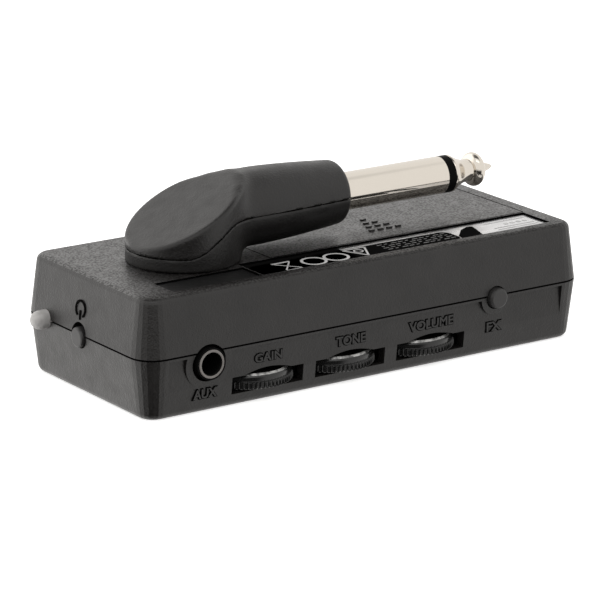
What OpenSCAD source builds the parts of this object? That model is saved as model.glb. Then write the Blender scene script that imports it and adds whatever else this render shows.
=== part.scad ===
// Pocket headphone guitar amplifier: a two-part case with edge thumbwheels, a battery
// hatch, and a quarter-inch plug on a swivel that folds flat across the back.
// It lies on its grille face. X runs along the case, -Y is the control side and +Z is up.
// The origin is the centre of the resting face. All sizes are in millimetres.

/* [Case] */
// Length of the case
case_l = 87.2; // [85:0.1:92]
// Width of the case
case_w = 37.4; // [37:0.1:42]
// Height of the case
case_h = 19.9; // [19.6:0.1:21]
// Wall thickness
wall = 1.6; // [1.4:0.1:1.8]
// Corner radius in plan, at the parting line
corner_r = 4; // [3:0.5:5]
// How far each wall leans in from the parting line to its far face
draft = 1.05; // [0.4:0.05:1.2]
// Radius of the outer edges
edge_r = 1.2; // [0.6:0.1:1.4]

/* [Controls] */
// Radius of the thumbwheels
wheel_r = 7.8; // [7:0.1:7.9]
// Spacing of the thumbwheels
wheel_pitch = 16.1; // [16:0.1:16.4]
// Knurl teeth on each thumbwheel
wheel_teeth = 66; // [48:1:90]
// How far the FX button stands out of the wall
fx_stand = 0.9; // [0.7:0.1:1.2]
// How far the power button stands out of the wall
power_stand = 0.5; // [0.5:0.1:1]
// Radius of the 3.5 mm jack holes
jack_bore_r = 1.8; // [1.8:0.01:1.85]

/* [Plug] */
// Radius of the quarter-inch plug sleeve
plug_r = 3.175; // [3.1:0.005:3.2]
// Radius of the swivel turret
turret_r = 9.4; // [8.8:0.1:9.6]
// Height of the plug axis above the resting face
plug_z = 26.5; // [26.4:0.1:27]
// Height of the sloping face of the turret above the pivot
facet_z = 28.2; // [28:0.1:29]
// Slope of that face, rise over run
facet_slope = 0.52; // [0.45:0.01:0.55]

/* [Hidden] */
$fn = 64;
hull_fn = 24;

// Case
half_l = case_l / 2;
half_w = case_w / 2;
split_z = 10.05;
split_gap = 0.3;
corner_x = half_l - corner_r;
corner_y = half_w - corner_r;
top_in = case_h - wall;

// Control panel: a flat recess in the front wall
panel_depth = 0.65;
panel_x = [-39, 39];
panel_ledge = 0.4;
aux_boss_r = 4.35;
fx_boss_r = 3;
wheel_mid = -3.85;
wheel_x = [wheel_mid - wheel_pitch, wheel_mid, wheel_mid + wheel_pitch];
wheel_y = -half_w + 7.25;
wheel_z = 2.3;
knurl_t = 1.3;
wheel_top = 4.9;
slot_w = 13.7;
slot_z = [2.05, 4.9];
pocket_gap = 0.35;
pocket_top = 5.65;
pocket_top_r = 6.6;

// Buttons, lamp and jacks
power_at = [-half_l, 0.9, 10];
power_r = 1.7;
power_hole_r = 2.17;
power_drop = 0.3;
fx_at = [25.2, -half_w, 9.8];
fx_r = 1.75;
fx_hole_r = 1.97;
flange_w = 0.95;
led_at = [-half_l, 11.2, split_z + split_gap / 2];
led_r = 1.55;
aux_x = -31.45;
aux_stand = 0.5;
phones_y = -12;
phones_stand = 0.2;
jack_z = 8.3;
jack_body_w = 6;
jack_body_h = 5.3;
barrel_r = 2.65;
barrel_hole_r = 3.1;

// Board
board_z = 6.6;
board_t = 1;
board_top = board_z + board_t;
chip_at = [[-24, 5, 5, 4], [-31.8, 3, 5, 4], [6, -12, 5, 3.6]];
capacitor_at = [[-15.5, -4.6], [-21.5, -4.6], [-15.5, 1.2]];

// Screw posts: two tall ones beside the turret, two under the battery bay
case_posts = [[-37.6, -13.6], [-30, 13.6], [34, 12], [-4, 12]];
board_posts = [[-17.5, 12.5], [-38.4, -6], [24.5, -9.4]];
post_top = 5.2;
case_post_r = 2.4;
board_post_r = 1.8;
board_hole_r = 0.85;

// Grille panel let into the resting face
grille_size = [40.5, 15.8];
grille_t = 0.7;
grille_chamfer = 3.4;

// Label recesses in the back
label_depth = 0.4;
label_t = 0.15;
label_gap = 0.2;
rating_x = [-18.85, 38.95];
rating_y = [-15.1, -7.75];
blank_x = [-36.05, -19.15];
blank_y = [-15.2, -9.65];

// Battery bay: two AAA cells side by side
cell_r = 5.25;
cell_l = 44.5;
cell_z = 12.7;
cell_y = [-0.95, 9.95];
bay_x = [-11.2, 38.4];
bay_y = [-6.6, 15.6];
bay_floor = 7.4;
tray_wall = 1;
cover_x = [-12.4, 39.15];
cover_y = -7.45;
cover_z = 18.3;
cover_gap = 0.1;
rail_w = 0.9;
rail_t = 0.7;
grip_at = [13.55, 3.15];
grip_pitch = [1.8, 2.08];
terminal_t = 0.3;
terminal_half = [4.2, 4.5];

// Swivel and plug arm
pivot_x = -24.3;
hub_r = 6;
hub_bore_r = 6.05;
hub_seat_r = 8.6;
hub_seat_z = 17.3;
retainer_z = 15.7;
retainer_t = 1.2;
retainer_r = 8;
washer_r = 7.8;
turret_z = case_h + 0.12;
arm_z = case_h + 0.3;
arm_axis_z = plug_z + 0.27;
arm_x = [-11, 5.4];
arm_root_r = 6.4;
arm_tip_r = 5.3;
arm_end = arm_x[1];
arm_edge = 0.8;
ring_x = 26.8;
ring_t = 1.6;
sleeve_back = -7;
collar_x = [-1, 2];
collar_r = 4.2;
shank_r = 3;
plug_bore_r = 1.75;
rod_bore_r = 1.25;
swivel_screw_y = 4.2;
wire_z = 24.4;
wire_r = 2.4;
seam_low = 22.2;
seam_high = 26.7;
seam_x = [-30.5, -19];
seam_gap = 0.05;

// Colours
shell_grey = [0.18, 0.18, 0.18];
deep_black = [0.06, 0.06, 0.06];
nickel = [0.82, 0.79, 0.74];
board_green = [0.1, 0.3, 0.18];
steel = [0.65, 0.65, 0.67];

// ---- shapes that repeat ----

// Round wire along a list of points
module sweep(points, r, sides) {
    count = len(points);
    rings = [for (i = [0 : count - 1])
        let (ahead = points[min(i + 1, count - 1)] - points[max(i - 1, 0)],
             dir = ahead / norm(ahead),
             side = cross(dir, abs(dir[2]) > 0.9 ? [1, 0, 0] : [0, 0, 1]),
             u = side / norm(side), v = cross(dir, u))
        for (k = [0 : sides - 1])
            points[i] + r * (cos(360 * k / sides) * u + sin(360 * k / sides) * v)];
    walls = [for (i = [0 : count - 2], k = [0 : sides - 1])
        let (a = i * sides + k, b = i * sides + (k + 1) % sides) [a, a + sides, b + sides, b]];
    ends = [[for (k = [0 : sides - 1]) k],
            [for (k = [sides - 1 : -1 : 0]) (count - 1) * sides + k]];
    polyhedron(rings, concat(walls, ends), convexity = 8);
}

// Rounded slab standing on its large face, leaning in by `lean` over its height
module drafted_slab(inset, height, lean, edge) {
    r0 = corner_r - inset;
    hull()
        for (x = [-1, 1], y = [-1, 1])
            translate([x * corner_x, y * corner_y, 0]) {
                cylinder(r = r0, h = 0.01, $fn = hull_fn);
                translate([0, 0, height - edge])
                    rotate_extrude($fn = hull_fn)
                        translate([r0 - lean - edge, 0]) circle(edge, $fn = hull_fn);
            }
}

module front_solid() translate([0, 0, split_z]) mirror([0, 0, 1])
    drafted_slab(0, split_z, draft, edge_r);
module front_hollow() translate([0, 0, split_z + 0.01]) mirror([0, 0, 1])
    drafted_slab(wall, split_z - wall, draft, 0.5);
module back_solid() translate([0, 0, split_z + split_gap])
    drafted_slab(0, case_h - split_z - split_gap, draft, edge_r);
module back_hollow() translate([0, 0, split_z + split_gap - 0.01])
    drafted_slab(wall, top_in - split_z - split_gap, draft, 0.5);

function shrink(range, by) = [range[0] + by, range[1] - by];

module box(x, y, z) translate([x[0], y[0], z[0]]) cube([x[1] - x[0], y[1] - y[0], z[1] - z[0]]);
module along_y(r, y) translate([0, y[0], 0]) rotate([-90, 0, 0]) cylinder(r = r, h = y[1] - y[0]);
module along_x(r, x) translate([x[0], 0, 0]) rotate([0, 90, 0]) cylinder(r = r, h = x[1] - x[0]);
module turned_x(profile) rotate([0, 90, 0]) rotate_extrude() polygon(profile);

// Openings through the walls that both shells share
module wall_openings() {
    translate([aux_x, 0, jack_z]) along_y(barrel_hole_r, [-half_w - 2, -half_w + 4]);
    translate([0, phones_y, jack_z]) along_x(barrel_hole_r, [half_l - 4, half_l + 2]);
    translate([fx_at[0], 0, fx_at[2]]) along_y(fx_hole_r, [-half_w - 2, -half_w + 4]);
    translate([0, power_at[1], power_at[2]]) along_x(power_hole_r, [-half_l - 2, -half_l + 4]);
    translate([0, led_at[1], led_at[2]]) along_x(led_r + 0.05, [-half_l - 2, -half_l + 4]);
}

// Recess of the control panel, with round bosses left standing at the jack and the button
module panel_recess() difference() {
    box(panel_x, [-half_w - 1, -half_w + panel_depth], [-1, split_z - panel_ledge]);
    translate([aux_x, 0, jack_z]) along_y(aux_boss_r, [-half_w - 2, -half_w + 2]);
    translate([fx_at[0], 0, fx_at[2]]) along_y(fx_boss_r, [-half_w - 2, -half_w + 2]);
}

// ---- case ----

module front_shell() color(shell_grey) difference() {
    union() {
        difference() {
            front_solid();
            front_hollow();
        }
        for (p = case_posts) translate([p[0], p[1], 1]) cylinder(r = case_post_r, h = post_top - 1);
        for (p = board_posts) translate([p[0], p[1], 1]) cylinder(r = board_post_r, h = board_z - 1.05);
    }
    panel_recess();
    wall_openings();
    for (x = wheel_x) {
        box([x - slot_w / 2, x + slot_w / 2], [-half_w - 1, -half_w + 3], slot_z);
        translate([x, wheel_y, slot_z[0]]) cylinder(r = wheel_r + pocket_gap, h = slot_z[1] - slot_z[0]);
        translate([x, wheel_y, slot_z[1] - 0.01])
            cylinder(r1 = wheel_r + pocket_gap - 0.1, r2 = pocket_top_r, h = pocket_top - slot_z[1]);
    }
    plate(grille_size[0] + 0.1, grille_size[1] + 0.1, [-1, grille_t + 0.05]);
    for (p = case_posts) translate([p[0], p[1], 0]) {
        cylinder(r = 1.95, h = 2);
        cylinder(r = 1.1, h = 7);
    }
    for (p = board_posts) translate([p[0], p[1], 2.6]) cylinder(r = board_hole_r, h = 7);
}

// Flat plate centred on the origin, given by its half length, half width and height range
module plate(x, y, z) box([-x, x], [-y, y], z);

module grille_panel() color(deep_black) difference() {
    plate(grille_size[0], grille_size[1], [0, grille_t]);
    for (x = [-1, 1], y = [-1, 1])
        translate([x * grille_size[0], y * grille_size[1], -1])
            rotate(45) cube([grille_chamfer, grille_chamfer, 4], center = true);
}

module back_shell() color(shell_grey) difference() {
    union() {
        difference() {
            back_solid();
            back_hollow();
        }
        translate([pivot_x, 0, hub_seat_z]) cylinder(r = hub_seat_r, h = top_in + 0.1 - hub_seat_z);
        box([bay_x[0] - tray_wall, bay_x[1] + tray_wall], [bay_y[0] - tray_wall, bay_y[1] + tray_wall],
            [board_z, top_in + 0.1]);
        box([cover_x[0] - 1.8, 41], [cover_y - 0.8, 16.9], [cover_z - 1, top_in + 0.1]);
        for (i = [0, 1]) translate([case_posts[i][0], case_posts[i][1], post_top + 0.05])
            cylinder(r = 2, h = top_in - post_top);
        for (i = [2, 3]) translate([case_posts[i][0], case_posts[i][1], post_top + 0.05])
            cylinder(r = 2, h = board_z - post_top);
    }
    wall_openings();
    translate([pivot_x, 0, hub_seat_z - 1]) cylinder(r = hub_bore_r, h = 5);
    box(bay_x, bay_y, [bay_floor, case_h + 1]);
    box(cover_x, [cover_y, half_w + 1], [cover_z, case_h + 1]);
    box([cover_x[0] - rail_w, cover_x[1] + rail_w], [cover_y, half_w + 1], [cover_z, cover_z + rail_t]);
    box(rating_x, rating_y, [case_h - label_depth, case_h + 1]);
    box(blank_x, blank_y, [case_h - label_depth, case_h + 1]);
    for (p = case_posts) translate([p[0], p[1], post_top - 1]) cylinder(r = 1.05, h = 2.9);
}

module battery_cover() color(shell_grey) union() {
    intersection() {
        back_solid();
        box(shrink(cover_x, cover_gap), [cover_y + cover_gap, half_w + 1], [cover_z + 0.05, case_h + 1]);
    }
    box(shrink(cover_x, cover_gap - rail_w), [cover_y + cover_gap, 12],
        [cover_z + 0.05, cover_z + rail_t - 0.05]);
    for (row = [0 : 3], i = [0 : row])
        translate([grip_at[0] + grip_pitch[0] * (i - row / 2), grip_at[1] - grip_pitch[1] * row, case_h - 0.2])
            grip_dash();
}

// One raised dash of the thumb grip
module grip_dash() union() {
    translate([-0.3, -0.3, 0]) cube([0.6, 0.6, 0.45]);
    for (x = [-0.3, 0.3]) translate([x, 0, 0]) cylinder(r = 0.3, h = 0.45, $fn = 24);
}

// Sticker lying on the floor of its recess
module label(x, y) translate([0, 0, case_h - label_depth])
    box(shrink(x, label_gap), shrink(y, label_gap), [0, label_t]);

module rating_label() color(nickel) label(rating_x, rating_y);
module blank_label() color(deep_black) label(blank_x, blank_y);

// ---- swivel and plug ----

// How far x has gone through a range, from 0 to 1
function along(x, range) = min(1, max(0, (x - range[0]) / (range[1] - range[0])));

// Height of the seam between turret base and cap: low round the turret, rising along the arm
function seam(x) = seam_low + (seam_high - seam_low) * (1 - cos(180 * along(x, seam_x))) / 2;

// Radius of the arm, swelling slightly before it narrows to its end
function arm_radius(x) = arm_root_r - (arm_root_r - arm_tip_r) * pow(along(x, arm_x), 1.5);

module above_seam(shift) {
    line = [for (x = [seam_x[0] : 1 : seam_x[1]]) [x, seam(x) + shift]];
    translate([0, 20, 0]) rotate([90, 0, 0]) linear_extrude(40)
        polygon(concat([[-60, 60], [-60, seam_low + shift]], line, [[60, seam_high + shift], [60, 60]]));
}

module housing_solid() difference() {
    union() {
        translate([pivot_x, 0, turret_z]) cylinder(r = turret_r, h = 16, $fn = 96);
        intersection() {
            translate([0, 0, arm_axis_z]) turned_x(concat([[0, pivot_x]],
                [for (x = [pivot_x, each [arm_x[0] : 2 : arm_end - arm_edge]]) [arm_radius(x), x]],
                [for (a = [0 : 30 : 90])
                    [arm_tip_r - arm_edge * (1 - cos(a)), arm_end - arm_edge * (1 - sin(a))]],
                [[0, arm_end]]));
            box([pivot_x - 20, 40], [-20, 20], [arm_z, 60]);
        }
    }
    translate([pivot_x, 0, facet_z]) rotate([0, -atan(facet_slope), 0]) box([-40, 40], [-20, 20], [0, 30]);
}

// Room inside the housing for the plug, its collar, the wires and the screws
module housing_hollow() {
    translate([0, 0, plug_z]) {
        along_x(shank_r + 0.1, [sleeve_back - 4, arm_end + 1]);
        along_x(collar_r + 0.1, shrink(collar_x, -0.1));
    }
    translate([0, 0, wire_z]) along_x(1.6, [pivot_x, sleeve_back - 3]);
    translate([pivot_x, 0, 10]) cylinder(r = wire_r, h = wire_z - 9);
    for (y = [-1, 1]) translate([pivot_x, y * swivel_screw_y, 10]) cylinder(r = board_hole_r, h = 16.7);
}

module turret_base() color(shell_grey) difference() {
    union() {
        difference() {
            housing_solid();
            above_seam(-seam_gap);
        }
        translate([pivot_x, 0, retainer_z + retainer_t]) cylinder(r = hub_r, h = turret_z - retainer_z - 1);
    }
    housing_hollow();
}

module turret_cap() color(shell_grey) difference() {
    intersection() {
        housing_solid();
        above_seam(seam_gap);
    }
    housing_hollow();
}

module swivel_retainer() color(deep_black) translate([pivot_x, 0, retainer_z]) difference() {
    cylinder(r = retainer_r, h = retainer_t);
    translate([0, 0, -1]) cylinder(r = wire_r, h = 5);
    for (y = [-1, 1]) translate([0, y * swivel_screw_y, -1]) cylinder(r = board_hole_r, h = 5);
}

module swivel_washer() color(steel) translate([pivot_x, 0, retainer_z + retainer_t]) difference() {
    cylinder(r = washer_r, h = 0.25);
    translate([0, 0, -1]) cylinder(r = hub_r + 0.1, h = 5);
}

module swivel_screws() color(steel)
    for (y = [-1, 1]) translate([pivot_x, y * swivel_screw_y, retainer_z - 1]) difference() {
        union() {
            cylinder(r = 1.5, h = 1);
            cylinder(r = 0.8, h = 11.5);
        }
        translate([0, 0, -0.1]) cross_recess(1.6);
    }

// Cross-shaped drive in a screw head
module cross_recess(w) for (a = [0, 90]) rotate(a) translate([-w / 2, -0.2, 0]) cube([w, 0.4, 0.6]);

module plug_sleeve() color(nickel) translate([0, 0, plug_z]) difference() {
    union() {
        along_x(shank_r, [sleeve_back, arm_end + 0.1]);
        along_x(plug_r, [arm_end + 0.05, ring_x]);
        along_x(collar_r, collar_x);
    }
    along_x(plug_bore_r, [sleeve_back - 1, ring_x + 1]);
}

module plug_insulator() color(deep_black) translate([0, 0, plug_z]) difference() {
    union() {
        along_x(plug_bore_r - 0.05, [sleeve_back - 1, ring_x]);
        along_x(plug_r, [ring_x, ring_x + ring_t]);
    }
    along_x(rod_bore_r, [sleeve_back - 2, ring_x + 2]);
}

module plug_tip() color(nickel) translate([ring_x + ring_t, 0, plug_z]) union() {
    along_x(rod_bore_r - 0.05, [sleeve_back - ring_x - 4, 0]);
    turned_x([[0, 0], [plug_r, 0], [plug_r, 0.5], [1.97, 3.1], [1.92, 3.9], [2.2, 4.3], [2.65, 4.75],
        [2.87, 5.2], [2.93, 5.6], [2.87, 6], [2.65, 6.45], [2.1, 6.85], [1.3, 7.15], [0.95, 7.7], [0.6, 8.8],
        [0.25, 9.6], [0, 9.6]]);
}

// ---- controls ----

module thumbwheel(x) color(deep_black) translate([x, wheel_y, 0]) union() {
    translate([0, 0, wheel_z]) linear_extrude(knurl_t)
        polygon([for (i = [0 : 2 * wheel_teeth - 1])
            (wheel_r - (i % 2) * 0.28) * [cos(180 * i / wheel_teeth), sin(180 * i / wheel_teeth)]]);
    rotate_extrude() polygon([[0, wheel_z + knurl_t], [wheel_r - 0.3, wheel_z + knurl_t],
        [wheel_r - 0.3, wheel_top - 0.5], [wheel_r - 0.8, wheel_top], [0, wheel_top]]);
    translate([0, 0, wheel_z]) cylinder(r = 1.5, h = board_z - 0.2 - wheel_z);
}

module gain_wheel() thumbwheel(wheel_x[0]);
module tone_wheel() thumbwheel(wheel_x[1]);
module volume_wheel() thumbwheel(wheel_x[2]);

module pot(x) color(steel) translate([x, wheel_y, 0]) difference() {
    union() {
        box([-4.5, 4.5], [-4.5, 4.5], [wheel_top + 0.35, board_z]);
        for (i = [-1, 0, 1]) box([2.5 * i - 0.4, 2.5 * i + 0.4], [3, 3.7], [board_z - 1, board_top + 0.4]);
    }
    cylinder(r = 1.55, h = board_z + 1);
}

module gain_pot() pot(wheel_x[0]);
module tone_pot() pot(wheel_x[1]);
module volume_pot() pot(wheel_x[2]);

// Push button standing along +X from its outer face: cap, flange and stem
module push_button(r, stand) turned_x([[0, -stand], [r - 0.35, -stand], [r - 0.1, 0.1 - stand],
    [r, 0.35 - stand], [r, 2.1], [r + flange_w, 2.1], [r + flange_w, 2.7], [1, 2.7], [1, 3.7], [0, 3.7]]);

module power_button() color(deep_black)
    translate(power_at - [0, 0, power_drop]) push_button(power_r, power_stand);
module fx_button() color(deep_black) translate(fx_at) rotate(90) push_button(fx_r, fx_stand);

// Side-acting switch, its face 4.4 mm inside the wall
module tact_switch() difference() {
    union() {
        box([4.4, 7.9], [-3, 3], [board_top, 11.4]);
        for (y = [-1, 1]) box([5.6, 6.6], [y * 3.2 - 0.3, y * 3.2 + 0.3], [board_top, 9]);
    }
    translate([0, 0, 9.8]) along_x(1.3, [4, 5]);
}

module power_switch() color(steel) translate([power_at[0], power_at[1], 0]) tact_switch();
module fx_switch() color(steel) translate([fx_at[0], fx_at[1], 0]) rotate(90) tact_switch();

module led_lens() color([0.9, 0.9, 0.88]) translate(led_at)
    turned_x([[0, -2.6], [0.35, -2.6], [0.85, -2.42], [1.2, -2.1], [1.43, -1.7], [led_r, -1.2], [led_r, 1.9],
        [led_r + 0.5, 1.9], [led_r + 0.5, 2.5], [0, 2.5]]);

module status_led() color([0.85, 0.5, 0.45]) translate([led_at[0], led_at[1], 0]) union() {
    translate([0, 0, led_at[2]]) along_x(1.4, [2.8, 6.2]);
    for (y = [-0.9, 0.5]) box([5.4, 5.8], [y, y + 0.4], [board_top, led_at[2]]);
}

// Jack with its mouth at the origin, running along +X
module jack(length) difference() {
    union() {
        box([2.8, length + 0.6], [-jack_body_w / 2, jack_body_w / 2], [-jack_body_h / 2, jack_body_h / 2]);
        along_x(barrel_r, [0, 3.2]);
    }
    along_x(jack_bore_r, [-1, length]);
    turned_x([[0, -0.1], [jack_bore_r + 0.35, -0.1], [jack_bore_r, 0.25], [0, 0.25]]);
}

module aux_jack() color(deep_black) translate([aux_x, -half_w - aux_stand, jack_z]) rotate(90) jack(14);
module phones_jack() color(deep_black)
    translate([half_l + phones_stand, phones_y, jack_z]) rotate(180) jack(13.6);

// ---- inside ----

module main_board() color(board_green) difference() {
    union() {
        translate([0, 0, board_z]) linear_extrude(board_t)
            polygon([[-40.8, -14.6], [-39, -16.4], [-12.6, -16.4], [-12.6, 16.4], [-39, 16.4], [-40.8, 14.6]]);
        box([-13, 28.6], [-16.4, -7.9], [board_z, board_top]);
    }
    box([aux_x - 3.3, aux_x + 3.3], [-17, -3.7], [board_z - 1, board_top + 1]);
    box([fx_at[0] - 2.8, fx_at[0] + 2.8], [-17, -14.6], [board_z - 1, board_top + 1]);
    box([-41, -39], [power_at[1] - 3, power_at[1] + 3], [board_z - 1, board_top + 1]);
    box([-41, -40], [led_at[1] - 2.4, led_at[1] + 2.4], [board_z - 1, board_top + 1]);
    for (i = [0, 1]) translate([case_posts[i][0], case_posts[i][1], 0]) cylinder(r = 2.3, h = 20);
    for (p = board_posts) translate([p[0], p[1], 0]) cylinder(r = 0.9, h = 20);
    for (x = wheel_x) {
        translate([x, wheel_y, 0]) cylinder(r = 1.6, h = 20);
        for (i = [-1, 0, 1]) box([x + 2.5 * i - 0.5, x + 2.5 * i + 0.5],
            [wheel_y + 2.9, wheel_y + 3.8], [board_z - 1, board_top + 1]);
    }
}

module chip(x, y, l, w) union() {
    box([x - l / 2, x + l / 2], [y - w / 2, y + w / 2], [board_top + 0.1, board_top + 1.3]);
    for (i = [-3 : 2 : 3], s = [-1, 1])
        translate([x + i * l / 8, y + s * (w / 2 + 0.3), board_top]) box([-0.2, 0.2], [-0.4, 0.4], [0, 0.5]);
}

module amp_chips() color(deep_black) for (c = chip_at) chip(c[0], c[1], c[2], c[3]);

module capacitors() color([0.15, 0.18, 0.35])
    for (p = capacitor_at) translate([p[0], p[1], board_top]) cylinder(r = 2.4, h = 5.4);

// AAA cell along X with its positive end at +X
module cell() turned_x([[0, 0], [4.9, 0], [cell_r, 0.35], [cell_r, cell_l - 1.6], [4.8, cell_l - 1.2],
    [1.9, cell_l - 1.2], [1.9, cell_l], [0, cell_l]]);

module battery_cell_near() color([0.2, 0.25, 0.3]) translate([-7, cell_y[0], cell_z]) cell();
module battery_cell_far() color([0.2, 0.25, 0.3])
    translate([34.2, cell_y[1], cell_z]) mirror([1, 0, 0]) cell();

// Conical coil spring from the origin along +X
function coil_points(length, r0, r1, turns) = [for (i = [0 : 10 * turns])
    let (t = i / (10 * turns), r = r0 + (r1 - r0) * t)
        [length * t, r * cos(36 * i), r * sin(36 * i)]];

module battery_springs() color(steel) {
    translate([-10.4, cell_y[0], cell_z]) sweep(coil_points(2.9, 3.4, 2, 3), 0.3, 6);
    translate([37.6, cell_y[1], cell_z]) mirror([1, 0, 0]) sweep(coil_points(2.9, 3.4, 2, 3), 0.3, 6);
}

// Contact plate across one or both cells
module contact(x, y) box([x, x + terminal_t], shrink(y, -terminal_half[0]),
    [cell_z - terminal_half[1], cell_z + terminal_half[1]]);

module battery_terminals() color(nickel)
    for (y = cell_y) contact(bay_x[0] + 0.05, [y, y]);

module battery_bridge() color(nickel)
    contact(bay_x[1] - 0.05 - terminal_t, cell_y);

// ---- screws ----

module screw(head_r, head_h, shank_r, length) difference() {
    union() {
        cylinder(r = head_r, h = head_h);
        cylinder(r = shank_r, h = length);
    }
    translate([0, 0, -0.1]) cross_recess(head_r * 1.1);
}

module case_screws() color(steel)
    for (p = case_posts) translate([p[0], p[1], 0.9]) screw(1.8, 1.05, 1, 6);

module board_screws() color(steel)
    for (p = board_posts) translate([p[0], p[1], board_top + 0.9]) mirror([0, 0, 1]) screw(1.4, 0.85, 0.8, 5.4);

front_shell();
grille_panel();
back_shell();
battery_cover();
rating_label();
blank_label();
turret_base();
turret_cap();
swivel_retainer();
swivel_washer();
swivel_screws();
plug_sleeve();
plug_insulator();
plug_tip();
gain_wheel();
tone_wheel();
volume_wheel();
gain_pot();
tone_pot();
volume_pot();
power_button();
fx_button();
power_switch();
fx_switch();
led_lens();
status_led();
aux_jack();
phones_jack();
main_board();
amp_chips();
capacitors();
battery_cell_near();
battery_cell_far();
battery_springs();
battery_terminals();
battery_bridge();
case_screws();
board_screws();
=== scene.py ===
"""Looks of the pocket headphone guitar amplifier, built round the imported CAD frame."""

import math

import bmesh
import bpy
import numpy as np
from mathutils import Matrix, Vector


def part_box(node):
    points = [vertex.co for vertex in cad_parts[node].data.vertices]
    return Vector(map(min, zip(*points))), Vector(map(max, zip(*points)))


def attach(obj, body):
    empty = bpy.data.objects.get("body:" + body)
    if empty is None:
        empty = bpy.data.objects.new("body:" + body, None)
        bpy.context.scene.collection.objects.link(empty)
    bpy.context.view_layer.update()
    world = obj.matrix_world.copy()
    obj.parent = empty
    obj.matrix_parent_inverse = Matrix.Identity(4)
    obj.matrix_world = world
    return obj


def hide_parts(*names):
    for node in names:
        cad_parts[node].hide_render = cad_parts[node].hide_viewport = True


MM = 0.001
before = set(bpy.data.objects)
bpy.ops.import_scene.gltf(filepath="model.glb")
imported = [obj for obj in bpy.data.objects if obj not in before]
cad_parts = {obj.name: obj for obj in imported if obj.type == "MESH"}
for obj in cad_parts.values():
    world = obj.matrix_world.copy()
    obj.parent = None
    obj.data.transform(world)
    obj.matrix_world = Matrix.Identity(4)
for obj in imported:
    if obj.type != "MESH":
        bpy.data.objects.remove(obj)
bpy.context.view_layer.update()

# ---------------------------------------------------------------- sizes, in millimetres
# Read back from the frame where it holds them, so the looks follow the CAD model.


def span(node):
    """Lowest and highest corner of a CAD node, in millimetres."""
    low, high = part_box(node)
    return np.array(low) / MM, np.array(high) / MM


HALF_L, HALF_W, SPLIT_Z = span("front_shell")[1]
BACK_SPLIT = SPLIT_Z + 0.3
CASE_TOP = span("back_shell")[1][2]
WALL_DRAFT = 1.05
PANEL_Y = -HALF_W + 0.65
LABEL_Z = CASE_TOP - 0.25

BASE_LOW, BASE_HIGH = span("turret_base")
TURRET_R = (BASE_HIGH[1] - BASE_LOW[1]) / 2
TURRET_Z = CASE_TOP + 0.12
PIVOT_X = BASE_LOW[0] + TURRET_R
SLEEVE_LOW, SLEEVE_HIGH = span("plug_sleeve")
PLUG_Z = (SLEEVE_LOW[2] + SLEEVE_HIGH[2]) / 2
ARM_R = 6.4
ARM_TAPER = 1.1
ARM_TAPER_X = -11
ARM_END = BASE_HIGH[0]
ARM_Z = CASE_TOP + 0.3
ARM_AXIS_Z = PLUG_Z + 0.27
ARM_BLEND = 2.4
FACET_Z = 28.2
FACET_SLOPE = 0.52
FACET_NORMAL = np.array([-FACET_SLOPE, 0, 1]) / math.hypot(FACET_SLOPE, 1)
SEAM_GAP = 0.06
HUB_R = 5.9
HUB_LOW = 17
WHEEL_SHEEN_Z = 4.56


# ---------------------------------------------------------------- mesh helpers


def new_object(name, mesh):
    piece = bpy.data.objects.new(name, mesh)
    bpy.context.scene.collection.objects.link(piece)
    return piece


def mesh_object(name, points, faces, smooth_angle=30):
    """Piece from points in millimetres."""
    mesh = bpy.data.meshes.new(name)
    mesh.from_pydata((np.asarray(points, float) * MM).tolist(), [], faces)
    mesh.validate()
    mesh.update()
    piece = new_object(name, mesh)
    smooth(piece, smooth_angle)
    return piece


def smooth(piece, angle=30):
    """Smooth shading that keeps edges sharper than the angle."""
    piece.data.shade_smooth()
    bm = bmesh.new()
    bm.from_mesh(piece.data)
    for edge in bm.edges:
        edge.smooth = len(edge.link_faces) != 2 or edge.calc_face_angle() < math.radians(angle)
    bm.to_mesh(piece.data)
    bm.free()


def lathe(name, profile, steps=96, smooth_angle=35):
    """Solid turned about the X axis from (x, radius) points; a zero radius closes an end."""
    points, faces = [], []
    for x, r in profile:
        for k in range(steps):
            a = 2 * math.pi * k / steps
            points.append((x, r * math.cos(a), r * math.sin(a)))
    for i in range(len(profile) - 1):
        for k in range(steps):
            a, b = i * steps + k, i * steps + (k + 1) % steps
            faces.append((a, b, b + steps, a + steps))
    faces.append(tuple(range(steps))[::-1])
    last = (len(profile) - 1) * steps
    faces.append(tuple(last + k for k in range(steps)))
    return mesh_object(name, points, faces, smooth_angle)


def shift(piece, x, y, z):
    piece.data.transform(Matrix.Translation(Vector((x, y, z)) * MM))


def paint(piece, material):
    piece.data.materials.clear()
    piece.data.materials.append(material)


def finish_piece(piece, body, slot, *replaced):
    """Tied to its CAD body, with the CAD nodes it stands in for hidden; the material slot is not used."""
    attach(piece, body)
    if replaced:
        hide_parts(*replaced)


def add_piece(name, shape, material, body, slot, *replaced):
    """Piece from a (points, faces) pair, painted and tied to its body."""
    piece = mesh_object(name, *shape)
    paint(piece, material)
    finish_piece(piece, body, slot, *replaced)


def soft_min(a, b, k):
    """Smooth minimum: the union of two fields, with a fillet whose width follows k."""
    h = np.maximum(k - np.abs(a - b), 0) / k
    return np.minimum(a, b) - h * h * k / 4


def soft_max(a, b, k):
    """Smooth maximum: where two fields meet, with the edge eased."""
    return -soft_min(-a, -b, k)


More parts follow.
